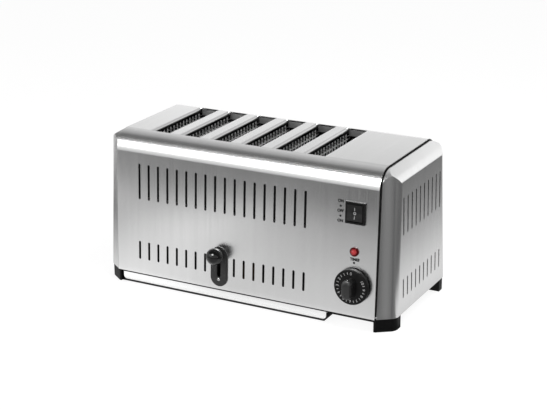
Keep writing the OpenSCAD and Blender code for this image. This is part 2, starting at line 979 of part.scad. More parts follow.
module bread_rack(i) {
    rungs = 8;
    gap = slot_len / (rungs + 1);
    color("lightgray") {
        box([slot_x(i) - rack_t / 2, carriage_y, rack_top - rack_h],
            [slot_x(i) + rack_t / 2, chamber_y + rack_over, rack_top]);
        for (k = [1 : rungs])
            translate([slot_x(i) - rack_w / 2, -slot_len / 2 + k * gap, rack_top])
                rotate([0, 90, 0])
                    cylinder(d = rung_d, h = rack_w, $fn = 16);
    }
}

// Parts turned about the lever's axis: the shape's Z points out of the front
module on_lever(y) {
    translate([lever_x, y, lever_z])
        rotate([90, 0, 0])
            children();
}

ball_y = -wall_y(lever_z) - ball_out;
knob_back_y = -wall_y(lever_z) - knob_back;

module lever_arm() {
    color("silver")
        on_lever(carriage_y - carriage_t)
            cylinder(d = stem_d, h = carriage_y - carriage_t - ball_y);
}

// Ball with a flat back
module lever_knob() {
    color("black")
        difference() {
            on_lever(knob_back_y)
                rotate_extrude()
                    intersection() {
                        translate([0, ball_out - knob_back])
                            circle(d = ball_d);
                        square(2 * ball_d);
                    }
            on_lever(knob_back_y + over)
                cylinder(d = stem_d, h = ball_out - knob_back + over);
        }
}

module guide_rods() {
    color("silver")
        for (x = rod_xs)
            translate([x, rod_y, base_top])
                cylinder(d = rod_d, h = rod_top - base_top);
}

// One unbroken tube wound up a rod from the base to the bush
spring_sides = 6;
spring_rings = 8;
spring_low = base_top + spring_wire / 2 + fit;
spring_high = bush_z - spring_wire / 2 - fit;
spring_steps = spring_curls * spring_rings;
spring_rise = (spring_high - spring_low) / spring_curls;
function spring_ring(i) = [
    for (k = [0 : spring_sides - 1])
        let (
            turn = 360 * i / spring_rings,
            side = 360 * k / spring_sides,
            r = spring_r + spring_wire / 2 * cos(side),
            z = spring_low + spring_rise * i / spring_rings + spring_wire / 2 * sin(side)
        )
        [r * cos(turn), r * sin(turn), z]
];
function spring_face(i, k) = let (
        a = i * spring_sides + k,
        b = i * spring_sides + (k + 1) % spring_sides
    ) [[a, a + spring_sides, b], [b, a + spring_sides, b + spring_sides]];

// Least gap between one curl and the next
echo(spring_gap = spring_rise - spring_wire);

module lift_spring(side) {
    points = [for (i = [0 : spring_steps]) each spring_ring(i)];
    last = spring_steps * spring_sides;
    faces = [
        for (i = [0 : spring_steps - 1], k = [0 : spring_sides - 1]) each spring_face(i, k),
        for (k = [1 : spring_sides - 2]) [0, k, k + 1],
        for (k = [1 : spring_sides - 2]) [last, last + k + 1, last + k]
    ];
    color("silver")
        translate([field_x + side * rod_reach, rod_y, 0])
            polyhedron(points, faces);
}

module left_lift_spring() {
    lift_spring(-1);
}

module right_lift_spring() {
    lift_spring(1);
}

magnet_deep = bush_w;

module hold_magnet() {
    foot = magnet_w / 5;
    core = magnet_w / 3;
    cheek = 2 * plate;
    low = base_top + cheek;
    color("saddlebrown") {
        translate([magnet_x - magnet_w / 2 - foot, rod_y - magnet_deep / 2, base_top])
            cube([magnet_w + 2 * foot, magnet_deep, cheek]);
        translate([magnet_x - magnet_w / 2, rod_y - magnet_deep / 2, low])
            cube([magnet_w, magnet_deep, magnet_top - cheek - low]);
        translate([magnet_x - core / 2, rod_y - core / 2, magnet_top - cheek])
            cube([core, core, cheek]);
    }
}

module armature() {
    hook = magnet_w / 3;
    color("gray") {
        translate([magnet_x - magnet_w / 2, rod_y - magnet_deep / 2, carriage_z - armature_t])
            cube([magnet_w, magnet_deep, armature_t]);
        translate([magnet_x - magnet_w / 2, carriage_y - carriage_t - armature_t, carriage_z - eps])
            cube([magnet_w, armature_t, hook]);
    }
}

// Lever guide

module lever_guide_plate() {
    color("black")
        on_front(lever_x, guide_slot_mid)
            difference() {
                translate([0, guide_mid - guide_slot_mid, 0]) {
                    linear_extrude(guide_t - guide_step / 2)
                        oblong(guide_w, guide_h);
                    linear_extrude(guide_t)
                        oblong(guide_w - 2 * guide_step, guide_h - 2 * guide_step);
                }
                translate([0, 0, -over])
                    linear_extrude(guide_t + 2 * over)
                        oblong(guide_slot_w, guide_slot_h);
                guide_screw_places()
                    translate([0, 0, -over])
                        cylinder(d = screw_d / 2 + 2 * fit, h = guide_t + 2 * over);
            }
}

// One screw beyond each end of the slot
module guide_screw_places() {
    for (s = [-1, 1])
        translate([0, s * (guide_slot_h + guide_rim) / 2, 0])
            children();
}

module guide_plate_screws() {
    head = guide_screw_head;
    ball = (screw_d * screw_d / 4 + head * head) / (2 * head);
    color("silver")
        on_front(lever_x, guide_slot_mid)
            guide_screw_places() {
                translate([0, 0, guide_t])
                    intersection() {
                        translate([0, 0, head - ball])
                            sphere(ball);
                        cylinder(d = screw_d, h = head);
                    }
                translate([0, 0, fit])
                    cylinder(d = screw_d / 2, h = guide_t - fit + head / 2);
            }
}

// Rocker switch

module switch_housing() {
    color("black")
        on_front(control_x, switch_z)
            difference() {
                union() {
                    translate([-switch_w / 2, -switch_h / 2, 0])
                        cube([switch_w, switch_h, bezel_t]);
                    translate([-switch_body_w / 2, -switch_body_h / 2, -switch_deep])
                        cube([switch_body_w, switch_body_h, switch_deep + over]);
                }
                translate([-rocker_open_w / 2, -rocker_open_h / 2, pivot_z])
                    cube([rocker_open_w, rocker_open_h, bezel_t - pivot_z + over]);
                translate([0, 0, pivot_z])
                    rotate([0, 90, 0])
                        cylinder(d = rocker_open_h, h = rocker_open_w, center = true);
                translate([0, 0, pivot_z])
                    rotate([0, 90, 0])
                        cylinder(r = pivot_d / 2 + rod_play, h = pivot_len + 2 * fit, center = true);
            }
}

module rocker() {
    face = bezel_t - pivot_z + rocker_proud;
    dip = rocker_r * tan(rocker_swing);
    color("dimgray")
        on_front(control_x, switch_z)
            translate([0, 0, pivot_z]) {
                rotate([0, 90, 0])
                    cylinder(d = pivot_d, h = pivot_len, center = true);
                rotate([90, 0, 90])
                    linear_extrude(rocker_w, center = true)
                        intersection() {
                            circle(rocker_r);
                            polygon([
                                [-rocker_r, -rocker_r],
                                [rocker_r, -rocker_r],
                                [rocker_r, face],
                                [0, face - dip],
                                [-rocker_r, face]
                            ]);
                        }
            }
}

// Lamp

module lamp_lens() {
    dome = lamp_body_d / 2;
    color("red")
        on_front(control_x, lamp_z)
            rotate_extrude() {
                square([lamp_d / 2, lamp_rim]);
                translate([0, lamp_rim])
                    intersection() {
                        circle(dome);
                        square(dome);
                    }
            }
}

module lamp_holder() {
    color("darkred")
        on_front(control_x, lamp_z) {
            translate([0, 0, -lamp_deep])
                cylinder(d = lamp_body_d, h = lamp_deep);
            translate([0, 0, -sheet - nut_t])
                cylinder(d = lamp_d + 2 * lamp_rim, h = nut_t, $fn = 6);
        }
}

// Timer

module timer_body() {
    color("ivory")
        on_front(control_x, knob_z)
            difference() {
                union() {
                    translate([-timer_w / 2, -timer_w / 2, -sheet - timer_deep])
                        cube([timer_w, timer_w, timer_deep]);
                    translate([0, 0, -sheet - over])
                        cylinder(d = neck_d, h = sheet + nut_t + 2 * over);
                }
                translate([0, 0, -sheet - timer_deep / 2])
                    cylinder(r = shaft_d / 2 + rod_play, h = timer_deep);
            }
}

module timer_nut() {
    color("silver")
        on_front(control_x, knob_z)
            difference() {
                cylinder(d = nut_d, h = nut_t, $fn = 6);
                translate([0, 0, -over])
                    cylinder(d = neck_d + 2 * fit, h = nut_t + 2 * over);
            }
}

// Gap from the panel to the knob, depth of the shaft's hole, and step round the knob's face
knob_gap = 1.5;
knob_bore = 0.6 * knob_h;
knob_edge = 2;

module timer_shaft() {
    color("silver")
        on_front(control_x, knob_z)
            translate([0, 0, -sheet - timer_deep / 2 + fit])
                cylinder(d = shaft_d, h = sheet + timer_deep / 2 - fit + knob_bore);
}

module timer_knob() {
    r = knob_d / 2;
    color("black")
        on_front(control_x, knob_z)
            difference() {
                union() {
                    rotate_extrude()
                        polygon([
                            [0, knob_gap],
                            [r, knob_gap],
                            [r, knob_skirt - knob_edge],
                            [r - knob_edge, knob_skirt],
                            [0, knob_skirt + knob_edge / 2]
                        ]);
                    intersection() {
                        translate([0, 0, knob_skirt - over])
                            linear_extrude(knob_h - knob_skirt + over)
                                oblong(grip_w, knob_d - 4 * knob_edge);
                        translate([0, 0, knob_h - knob_d])
                            sphere(knob_d, $fn = 64);
                    }
                }
                translate([0, 0, knob_gap - over])
                    cylinder(d = nut_d + 2 * knob_gap, h = nut_t + 2 * over);
                cylinder(d = shaft_d, h = knob_bore);
            }
}

// Wiring

module terminal_block() {
    ways = 3;
    mid = chamber_y - 1.5 * terminal_deep;
    hole = terminal_w / 2;
    color("ivory")
        difference() {
            translate([control_x - ways * terminal_w / 2, mid - terminal_deep / 2, base_top])
                cube([ways * terminal_w, terminal_deep, terminal_h]);
            for (i = [0 : ways - 1])
                translate([control_x + (i - (ways - 1) / 2) * terminal_w, mid, base_top + terminal_h / 2])
                    cylinder(d = hole, h = terminal_h);
        }
}

module cable_gland() {
    flange_r = gland_end_r + gland_flange;
    inside = sheet + cord_hole;
    color("black")
        on_back(control_x, gland_z)
            difference() {
                union() {
                    cylinder(r = flange_r, h = gland_flange);
                    cylinder(r1 = flange_r - over, r2 = gland_end_r, h = gland_out);
                    translate([0, 0, -inside])
                        cylinder(r = gland_end_r, h = inside + over);
                }
                translate([0, 0, -inside - over])
                    cylinder(d = cord_hole, h = inside + gland_out + 2 * over);
            }
}

// Everything is drawn about the body's middle and moved so that the whole depth is centred
module placed() {
    translate([0, mid_y, 0])
        children();
}

placed() outer_shell();
placed() left_end_cap();
placed() right_end_cap();
placed() left_end_frame();
placed() right_end_frame();
placed() base_plate();
placed() placed_foot(1, 0);  // front_left_foot
placed() placed_foot(0, 0);  // front_right_foot
placed() placed_foot(1, 1);  // rear_left_foot
placed() placed_foot(0, 1);  // rear_right_foot
placed() foot_screws();
placed() crumb_tray();
placed() left_tray_runner();
placed() right_tray_runner();
placed() top_deck();
placed() front_heat_plate();
placed() rear_heat_plate();
placed() left_heat_plate();
placed() control_bulkhead();
for (i = [0 : slots - 1]) {
    placed() bread_guard(i);
    placed() bread_rack(i);
}
for (i = [0 : slots])
    placed() heater_card(i);
placed() heater_ribbons();
placed() lift_carriage();
placed() carriage_bushes();
placed() lever_arm();
placed() lever_knob();
placed() guide_rods();
placed() left_lift_spring();
placed() right_lift_spring();
placed() hold_magnet();
placed() armature();
placed() lever_guide_plate();
placed() guide_plate_screws();
placed() switch_housing();
placed() rocker();
placed() lamp_lens();
placed() lamp_holder();
placed() timer_body();
placed() timer_nut();
placed() timer_shaft();
placed() timer_knob();
placed() terminal_block();
placed() cable_gland();
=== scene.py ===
import json
import math

import bpy
from mathutils import Matrix, Vector


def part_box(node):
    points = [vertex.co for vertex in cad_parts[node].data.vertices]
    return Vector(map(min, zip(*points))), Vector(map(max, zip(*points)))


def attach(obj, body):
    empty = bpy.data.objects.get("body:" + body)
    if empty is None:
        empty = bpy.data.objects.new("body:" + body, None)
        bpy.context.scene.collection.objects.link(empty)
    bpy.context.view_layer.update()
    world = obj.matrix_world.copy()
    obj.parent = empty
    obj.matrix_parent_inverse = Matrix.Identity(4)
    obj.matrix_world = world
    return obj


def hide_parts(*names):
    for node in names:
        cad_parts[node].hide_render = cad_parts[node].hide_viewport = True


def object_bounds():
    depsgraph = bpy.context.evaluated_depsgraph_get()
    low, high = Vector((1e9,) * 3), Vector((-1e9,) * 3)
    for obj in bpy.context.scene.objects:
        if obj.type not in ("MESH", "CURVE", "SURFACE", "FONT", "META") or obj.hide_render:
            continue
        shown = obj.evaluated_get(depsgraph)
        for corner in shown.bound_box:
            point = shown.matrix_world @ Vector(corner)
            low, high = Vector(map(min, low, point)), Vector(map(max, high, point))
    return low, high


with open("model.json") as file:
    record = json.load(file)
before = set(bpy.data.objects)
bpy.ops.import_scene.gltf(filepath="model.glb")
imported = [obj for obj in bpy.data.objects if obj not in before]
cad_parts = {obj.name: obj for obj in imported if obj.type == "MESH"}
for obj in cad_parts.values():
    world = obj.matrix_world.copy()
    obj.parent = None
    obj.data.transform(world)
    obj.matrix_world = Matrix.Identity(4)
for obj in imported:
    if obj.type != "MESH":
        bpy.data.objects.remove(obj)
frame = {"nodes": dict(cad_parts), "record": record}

MM = 0.001
scene = bpy.context.scene
record = frame["record"]
cad_low, cad_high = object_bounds()

# Places taken from the CAD nodes, in metres

FRONT_LEAN = math.radians(3)
shell_low, shell_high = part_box("outer_shell")
tray_low, tray_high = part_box("crumb_tray")
screws_low, screws_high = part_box("guide_plate_screws")


def centre_of(node):
    low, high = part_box(node)
    return (low + high) / 2


def front_y(z):
    """Where the leaning front face stands at a height."""
    return shell_low.y + (z - shell_low.z) * math.tan(FRONT_LEAN)


def on_front(x, z, out=0.0):
    """Frame on the leaning front face: X to the right, Y up the face, Z out of it."""
    right = Vector((1, 0, 0))
    up = Vector((0, math.sin(FRONT_LEAN), math.cos(FRONT_LEAN)))
    normal = right.cross(up)
    at = Vector((x, front_y(z), z)) + normal * out
    return Matrix.Translation(at) @ Matrix((right, up, normal)).transposed().to_4x4()


joint_of = {joint["name"]: joint for joint in record["behaviour"]["joints"]}
CONTROL_X = centre_of("timer_knob").x
SWITCH_Z = centre_of("switch_housing").z
LAMP_Z = centre_of("lamp_lens").z
KNOB_Z = joint_of["dial_turn"]["pos_m"][2]
SCREWS_AT = centre_of("guide_plate_screws")


# Node trees

EVEN = (1, 1, 1)
MIDDLE_OF_NOISE = (0.3, 0.7)
LOOKS_UP = (0.4, 0.8)


class Tree:
    """Short forms for any node tree."""

    def __init__(self, tree):
        self.tree = tree

    def node(self, kind, **values):
        made = self.tree.nodes.new(kind)
        for key, value in values.items():
            setattr(made, key, value)
        return made

    def feed(self, source, target):
        self.tree.links.new(source, target)

    def axes(self, vector):
        """The X, Y and Z of a vector."""
        parts = self.node("ShaderNodeSeparateXYZ")
        self.feed(vector, parts.inputs["Vector"])
        return parts.outputs

    def calc(self, operation, source, value=0.0):
        made = self.node("ShaderNodeMath", operation=operation)
        self.feed(source, made.inputs[0])
        made.inputs[1].default_value = value
        return made.outputs["Value"]

    def combined(self, operation, sources):
        """Several sources taken together by one operation."""
        level = sources[0]
        for source in sources[1:]:
            made = self.node("ShaderNodeMath", operation=operation)
            self.feed(level, made.inputs[0])
            self.feed(source, made.inputs[1])
            level = made.outputs["Value"]
        return level

    def spread(self, source, low, high, span=MIDDLE_OF_NOISE):
        """Low at the start of the span, high at its end, and no further outside it."""
        ranged = self.node("ShaderNodeMapRange")
        ranged.inputs["From Min"].default_value = span[0]
        ranged.inputs["From Max"].default_value = span[1]
        ranged.inputs["To Min"].default_value = low
        ranged.inputs["To Max"].default_value = high
        self.feed(source, ranged.inputs["Value"])
        return ranged.outputs["Result"]


class Shader(Tree):
    """A surface material, with noise, tint, painted shade and bump."""

    def __init__(self, name):
        self.mat = bpy.data.materials.new(name)
        self.mat.use_nodes = True
        super().__init__(self.mat.node_tree)
        self.bsdf = self.tree.nodes["Principled BSDF"]
        self.place = self.node("ShaderNodeTexCoord").outputs["Object"]

    def put(self, **values):
        for key, value in values.items():
            self.bsdf.inputs[key.replace("_", " ")].default_value = value

    def noise(self, stretch, scale=1.0, detail=3.0, rough=0.5):
        mapping = self.node("ShaderNodeMapping")
        mapping.inputs["Scale"].default_value = stretch
        self.feed(self.place, mapping.inputs["Vector"])
        noise = self.node("ShaderNodeTexNoise")
        noise.inputs["Scale"].default_value = scale
        noise.inputs["Detail"].default_value = detail
        noise.inputs["Roughness"].default_value = rough
        self.feed(mapping.outputs["Vector"], noise.inputs["Vector"])
        return noise.outputs["Fac"]

    def distance(self, point):
        """Distance from a point of the frame."""
        measure = self.node("ShaderNodeVectorMath", operation="DISTANCE")
        measure.inputs[1].default_value = point
        self.feed(self.place, measure.inputs[0])
        return measure.outputs["Value"]

    def upward(self):
        """One on faces that look up."""
        normal = self.node("ShaderNodeNewGeometry").outputs["Normal"]
        return self.spread(self.axes(normal)["Z"], 0.0, 1.0, LOOKS_UP)

    def tint(self, source, dark, light):
        mix = self.node("ShaderNodeMix", data_type="RGBA")
        mix.inputs["A"].default_value = (*dark, 1)
        mix.inputs["B"].default_value = (*light, 1)
        self.feed(source, mix.inputs["Factor"])
        self.feed(mix.outputs["Result"], self.bsdf.inputs["Base Color"])
        return mix.outputs["Result"]

    def stain(self, clean, tone, where):
        """Paint shade: turn a tinted surface to another tone where the mask is one."""
        mix = self.node("ShaderNodeMix", data_type="RGBA")
        mix.inputs["B"].default_value = (*tone, 1)
        self.feed(clean, mix.inputs["A"])
        self.feed(where, mix.inputs["Factor"])
        self.feed(mix.outputs["Result"], self.bsdf.inputs["Base Color"])

    def roughen(self, source, low, high):
        self.feed(self.spread(source, low, high), self.bsdf.inputs["Roughness"])

    def bump(self, source, height, before=None):
        """Raise the skin by the source, over the normal of an earlier bump."""
        bump = self.node("ShaderNodeBump")
        bump.inputs["Distance"].default_value = height
        self.feed(source, bump.inputs["Height"])
        if before is not None:
            self.feed(before, bump.inputs["Normal"])
        self.feed(bump.outputs["Normal"], self.bsdf.inputs["Normal"])
        return bump.outputs["Normal"]

    def rolled(self, middle, bow):
        """Bow the faces that cross the given place along X, on both sides of the part."""
        off_centre = self.calc("ABSOLUTE", self.axes(self.place)["X"])
        across = self.calc("SUBTRACT", off_centre, middle)
        return self.bump(self.calc("MULTIPLY", self.calc("POWER", across, 2.0), -bow), 1.0)


# Kinds of material. Tones are a dark and a light colour, and relief is in millimetres

BRUSH_DEPTH = 0.006 * MM
BRUSH_STRETCH = 0.6
BROAD_SHARE = 0.12
SKIN_FINER = 3
LENS_GRAIN = 150
LENS_ROUGH = (0.16, 0.24)
LENS_RELIEF = 0.004
LENS_SPECULAR = 0.12
DARK_RED = (0.12, 0.003, 0.004)
PALE_RED = (0.96, 0.11, 0.12)


def grey(value):
    return (value, value, value)


def greys(dark, light):
    return grey(dark), grey(light)


def brushed(name, grain, across, tones, rough, rolled=None, stain=None):
    """Steel whose grain is noise scaled by so much along each axis.

    Rolled gives the middle and the bow of faces to bow. Painted shade gives a tone and the function for
    its mask.
    """
    shader = Shader(name)
    fine = shader.noise(grain, detail=4.0, rough=0.6)
    broad = shader.noise([scale * BROAD_SHARE for scale in grain], detail=2.0)
    clean = shader.tint(shader.spread(broad, 0.0, 1.0), *tones)
    if stain:
        tone, where = stain
        shader.stain(clean, tone, where(shader))
    shader.roughen(fine, *rough)
    shader.bump(fine, BRUSH_DEPTH, shader.rolled(*rolled) if rolled else None)
    tangent = shader.node("ShaderNodeCombineXYZ")
    for axis, value in zip("XYZ", across):
        tangent.inputs[axis].default_value = value
    shader.feed(tangent.outputs["Vector"], shader.bsdf.inputs["Tangent"])
    shader.put(Metallic=1.0, Anisotropic=BRUSH_STRETCH)
    return shader.mat


def plain(name, tones, rough, grain, relief, metallic=0.0, specular=0.5):
    """Moulded, cast or rolled stuff with uneven colour, gloss and skin."""
    shader = Shader(name)
    spots = shader.noise(EVEN, grain, detail=5.0, rough=0.55)
    shader.tint(shader.spread(spots, 0.0, 1.0), *tones)
    shader.roughen(spots, *rough)
    shader.bump(shader.noise(EVEN, grain * SKIN_FINER, detail=2.0), relief * MM)
    shader.put(Metallic=metallic, Specular_IOR_Level=specular)
    return shader.mat


def stained(name, tones, tone, where, rough, grain, detail, relief=0.0, metallic=1.0, specular=0.5):
    """Plate or screws with painted shade: another tone in some places."""
    shader = Shader(name)
    spots = shader.noise(EVEN, grain, detail)
    shader.stain(shader.tint(shader.spread(spots, 0.0, 1.0), *tones), tone, where(shader))
    shader.roughen(spots, *rough)
    if relief:
        shader.bump(spots, relief * MM)
    shader.put(Metallic=metallic, Specular_IOR_Level=specular)
    return shader.mat


def clear_red(name, core, bright, fade):
    """Red lens with a painted glow: pale within one distance from its core and dark past another."""
    shader = Shader(name)
    skin = shader.noise(EVEN, LENS_GRAIN)
    shader.tint(shader.spread(shader.distance(core), 1.0, 0.0, (bright, fade)), DARK_RED, PALE_RED)
    shader.roughen(skin, *LENS_ROUGH)
    shader.bump(skin, LENS_RELIEF * MM)
    shader.put(Specular_IOR_Level=LENS_SPECULAR)
    return shader.mat


# Places in painted shade

SLOT_LONG = 138.5 * MM
SLOT_END = 0.5 * MM
LIP_FROM = 4.5 * MM
LIP_TO = 0.4 * MM
SLOT_MIDDLE = centre_of("bread_guard_1").y


def slot_lips(shader):
    """One on the lips that turn down into the bread slots, which get painted shade."""
    place = shader.axes(shader.place)
    off_middle = shader.calc("ABSOLUTE", shader.calc("SUBTRACT", place["Y"], SLOT_MIDDLE))
    in_slots = shader.spread(off_middle, 1.0, 0.0, (SLOT_LONG / 2, SLOT_LONG / 2 + SLOT_END))
    below_top = shader.spread(place["Z"], 1.0, 0.0, (shell_high.z - LIP_FROM, shell_high.z - LIP_TO))
    return shader.combined("MULTIPLY", [in_slots, below_top])


def upper_screw(shader):
    """One on the guide plate's upper screw behind the ball, painted black as the ball's shade."""
    return shader.spread(shader.axes(shader.place)["Z"], 0.0, 1.0, (SCREWS_AT.z, SCREWS_AT.z + MM))


# Materials of the object

CAP_MIDDLE = (shell_high.x + cad_high.x) / 2
CAP_BOW = 6.0
# Centre of the lens's painted glow, and the distances within which the glow is pale and past which it is
# dark
CORE_RIGHT = 0.4 * MM
CORE_UP = 0.2 * MM
CORE_OUT = 2.8 * MM
LENS_BRIGHT = 3.25 * MM
LENS_FADE = 4.59 * MM
glow_centre = on_front(CONTROL_X + CORE_RIGHT, LAMP_Z + CORE_UP, CORE_OUT).translation

# Brushed: grain, direction across it, tones, roughness. Others: tones, roughness, grain per metre, relief
# Painted shade: the body's steel is dark grey on the lips that turn down into the bread slots
steel_body = brushed("steel_body", (900, 14, 14), (1, 0, 0), greys(0.69, 0.71), rough=(0.21, 0.26),
                     stain=(grey(0.05), slot_lips))
steel_cap = brushed("steel_cap", (700, 700, 14), (0, 1, 0), greys(0.69, 0.71), rough=(0.20, 0.25),
                    rolled=(CAP_MIDDLE, CAP_BOW))
# Painted shade: the tray's faces that look up are darker, so the gap between its lip and the shell reads
# dark
steel_tray = brushed("steel_tray", (14, 900, 900), (0, 0, 1), greys(0.70, 0.74), rough=(0.22, 0.28),
                     stain=(grey(0.24), Shader.upward))
inner_plate = plain("inner_plate", greys(0.50, 0.62), (0.35, 0.48), 60, 0.01, metallic=1.0)
# Painted shade: the deck's faces that look up, seen down the bread slots, are near black
deck_plate = stained("deck_plate", greys(0.24, 0.34), grey(0.012), Shader.upward, (0.40, 0.52), 60, 4.0,
                     relief=0.01, metallic=0.4, specular=0.1)
# Painted shade: the inner heat plates, end frames and bulkhead are near black, so the vents read dark
heat_plate = plain("heat_plate", greys(0.010, 0.020), (0.55, 0.70), 60, 0.02, specular=0.15)
foot_plastic = plain("foot_plastic", greys(0.004, 0.008), (0.45, 0.60), 300, 0.03, specular=0.12)
bright_steel = plain("bright_steel", greys(0.70, 0.80), (0.12, 0.22), 400, 0.004, metallic=1.0)
dull_steel = plain("dull_steel", greys(0.36, 0.44), (0.48, 0.58), 400, 0.004, metallic=1.0)
# Painted shade: the upper screw of the guide plate is black, as the shade of the ball
screw_steel = stained("screw_steel", greys(0.36, 0.44), grey(0.006), upper_screw, (0.48, 0.58), 400, 5.0)
wire_steel = plain("wire_steel", greys(0.90, 0.96), (0.34, 0.46), 250, 0.01, metallic=0.25)
# Painted shade: the mica cards are near black, for the shade down in the slots
mica = plain("mica", ((0.014, 0.012, 0.010), (0.034, 0.029, 0.023)), (0.45, 0.65), 120, 0.06)
heater_ribbon = plain("heater_ribbon", ((0.06, 0.055, 0.05), (0.11, 0.10, 0.09)), (0.40, 0.55), 200, 0.01,
                      metallic=0.8)
bush_brass = plain("bush_brass", ((0.60, 0.44, 0.18), (0.76, 0.60, 0.32)), (0.22, 0.34), 300, 0.01,
                   metallic=1.0)
black_gloss = plain("black_gloss", greys(0.004, 0.007), (0.06, 0.09), 150, 0.002, specular=0.36)
black_skirt = plain("black_skirt", greys(0.006, 0.010), (0.36, 0.46), 200, 0.02, specular=0.14)
black_dial = plain("black_dial", greys(0.008, 0.012), (0.26, 0.34), 200, 0.02, specular=0.6)
black_satin = plain("black_satin", greys(0.008, 0.014), (0.36, 0.46), 300, 0.02, specular=0.12)
black_plate = plain("black_plate", greys(0.040, 0.056), (0.38, 0.50), 300, 0.02, specular=0.16)
rocker_plastic = plain("rocker_plastic", greys(0.016, 0.026), (0.38, 0.50), 300, 0.02, specular=0.12)
red_lens = clear_red("red_lens", glow_centre, LENS_BRIGHT, LENS_FADE)
lamp_plastic = plain("lamp_plastic", ((0.10, 0.003, 0.004), (0.16, 0.006, 0.008)), (0.20, 0.30), 150, 0.01)
coil_plastic = plain("coil_plastic", ((0.05, 0.028, 0.014), (0.09, 0.052, 0.028)), (0.25, 0.40), 200, 0.03)
ceramic = plain("ceramic", ((0.72, 0.69, 0.60), (0.84, 0.82, 0.74)), (0.20, 0.32), 150, 0.02)
dark_print = plain("dark_print", greys(0.008, 0.016), (0.55, 0.70), 400, 0.002, specular=0.1)
grey_print = plain("grey_print", greys(0.42, 0.50), (0.45, 0.60), 400, 0.002)
white_print = plain("white_print", greys(0.56, 0.68), (0.40, 0.55), 400, 0.002)
recess_shade = plain("recess_shade", greys(0.02, 0.05), (0.40, 0.60), 400, 0.002, metallic=0.5)

finish_of_slot = {
    "brushed_stainless": steel_body, "inner_plate": inner_plate, "foot_plastic": foot_plastic,
    "bright_steel": bright_steel, "wire_steel": wire_steel, "mica": mica,
    "heater_ribbon": heater_ribbon, "bush_brass": bush_brass, "black_moulding": black_gloss,
    "rocker_plastic": rocker_plastic, "red_lens": red_lens, "lamp_plastic": lamp_plastic,
    "coil_plastic": coil_plastic, "ceramic": ceramic,
}
# Nodes that look otherwise than their slot
finish_of_node = {
    "guide_plate_screws": screw_steel, "foot_screws": dull_steel,
    "left_end_cap": steel_cap, "right_end_cap": steel_cap, "crumb_tray": steel_tray,
    "lever_guide_plate": black_plate, "switch_housing": black_satin, "cable_gland": black_satin,
    "lever_arm": black_satin, "timer_knob": black_dial, "top_deck": deck_plate,
    "front_heat_plate": heat_plate, "rear_heat_plate": heat_plate, "left_heat_plate": heat_plate,
    "left_end_frame": heat_plate, "right_end_frame": heat_plate, "control_bulkhead": heat_plate,
}
slot_of = {part["node"]: part["material_slot"] for part in record["subparts"]}
for name, obj in frame["nodes"].items():
    obj.material_slots[0].material = finish_of_node.get(name, finish_of_slot[slot_of[name]])


# Building of pieces

INK = 0.05 * MM
CAPITAL = 0.73


def piece(name, mesh, mat, body, place=None):
    """Put a mesh in its place in the scene, riding a body."""
    mesh.materials.append(mat)
    obj = bpy.data.objects.new(name, mesh)
    scene.collection.objects.link(obj)
    if place is not None:
        mesh.transform(place)
    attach(obj, body)
    return obj


def words(name, text, height, place, mat, body, heavy=0.0):
    """Capital letters or numerals of the given height, centred on the place."""
    curve = bpy.data.curves.new(name, "FONT")
    curve.body = text
    curve.size = height / CAPITAL
    curve.align_x = "CENTER"
    curve.align_y = "CENTER"
    curve.extrude = INK / 2
    curve.offset = heavy
    source = bpy.data.objects.new(name + "_source", curve)
    mesh = bpy.data.meshes.new_from_object(source)
    mesh.name = name
    bpy.data.objects.remove(source)
    bpy.data.curves.remove(curve)
    return piece(name, mesh, mat, body, place @ Matrix.Translation((0, 0, INK)))


def lofted(rings):
    """Points and faces of a closed solid through rings of as many points each."""
    n = len(rings[0])
    faces = [tuple(range(n - 1, -1, -1))]
    for k in range(len(rings) - 1):
        low, high = k * n, (k + 1) * n
        for i in range(n):
            after = (i + 1) % n
            faces.append((low + i, low + after, high + after, high + i))
    faces.append(tuple((len(rings) - 1) * n + i for i in range(n)))
    return [point for ring in rings for point in ring], faces


def sheet(outline, height_at, thick=INK):
    """Points and faces of a flat solid that lies on a face of the given height."""
    base = [(x, y, height_at(x, y)) for x, y in outline]
    return lofted([base, [(x, y, z + thick) for x, y, z in base]])


def joined(name, solids):
    """One mesh from the points and faces of several solids."""
    points, faces = [], []
    for some_points, some_faces in solids:
        faces += [tuple(i + len(points) for i in face) for face in some_faces]
        points += some_points
    mesh = bpy.data.meshes.new(name)
    mesh.from_pydata(points, [], faces)
    return mesh


def level(z):
    """Height of a level face."""
    def height(x, y):
        return z
    return height


def bar(x, y, w, h):
    left, right = x - w / 2, x + w / 2
    low, high = y - h / 2, y + h / 2
    return [(left, low), (right, low), (right, high), (left, high)]


def disc(x, y, r, count=20):
    turns = [2 * math.pi * i / count for i in range(count)]
    return [(x + r * math.cos(a), y + r * math.sin(a)) for a in turns]


def oval_ring(w, h, stroke, count=24):
    """Oval ring as short quads."""
    inner = (w / 2 - stroke, h / 2 - stroke)
    outer = (w / 2, h / 2)
    quads = []
    for i in range(count):
        start, end = (2 * math.pi * k / count for k in (i, i + 1))
        corners = [(inner, start), (outer, start), (outer, end), (inner, end)]
        quads.append([(r[0] * math.cos(a), r[1] * math.sin(a)) for r, a in corners])
    return quads


# Switch legend in a column beside the switch, with dots between the words

LEGEND = ["ON", "", "OFF", "", "ON"]
LEGEND_X = 151.6 * MM
LEGEND_Z = SWITCH_Z - 0.4 * MM
LEGEND_STEP = 6.9 * MM
LETTER = 3.9 * MM
HEAVY = 0.3 * MM
DOT_R = 1.6 * MM
for i, word in enumerate(LEGEND):
    place = on_front(LEGEND_X, LEGEND_Z + (len(LEGEND) // 2 - i) * LEGEND_STEP)
    if word:
        words(f"legend_{i}", word, LETTER, place, dark_print, "toaster_body", HEAVY)
    else:
        mesh = joined(f"legend_{i}", [sheet(disc(0, 0, DOT_R), level(0))])
        piece(f"legend_{i}", mesh, dark_print, "toaster_body", place)

# Dial index and the word over it

